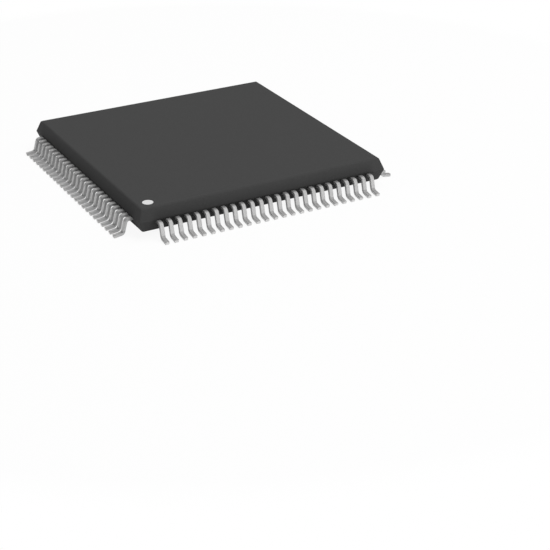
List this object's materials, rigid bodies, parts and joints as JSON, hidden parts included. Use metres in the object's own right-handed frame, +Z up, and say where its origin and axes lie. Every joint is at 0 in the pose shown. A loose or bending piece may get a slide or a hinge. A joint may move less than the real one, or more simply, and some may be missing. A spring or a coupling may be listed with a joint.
{
  "type": "analog-to-digital converter chip",
  "caption": "Square surface-mount converter chip: thin moulded body with gull-wing leads on all four sides and a metal pad exposed underneath.",
  "frame": {"origin": "centre of the plane that the feet of the leads stand on", "axes": "+Z up, away from the board; the mark for lead 1 is at the -X, -Y corner of the top"},
  "size_m": [0.016, 0.016, 0.0016],
  "materials": {
    "mould": "matte moulded",
    "mark_ink": "matte ink",
    "pad_plating": "matte tin plate",
    "lead_plating": "satin tin plate",
    "die_adhesive": "matte",
    "silicon": "polished",
    "bond_wire": "bright"
  },
  "bodies": {
    "root": {"mold_body": "mould", "pin_1_mark": "mark_ink", "die_paddle": "pad_plating", "die_attach": "die_adhesive", "silicon_die": "silicon", "leads_front": "lead_plating", "leads_right": "lead_plating", "leads_back": "lead_plating", "leads_left": "lead_plating", "bond_wires_front": "bond_wire", "bond_wires_right": "bond_wire", "bond_wires_back": "bond_wire", "bond_wires_left": "bond_wire"}
  },
  "joints": []
}
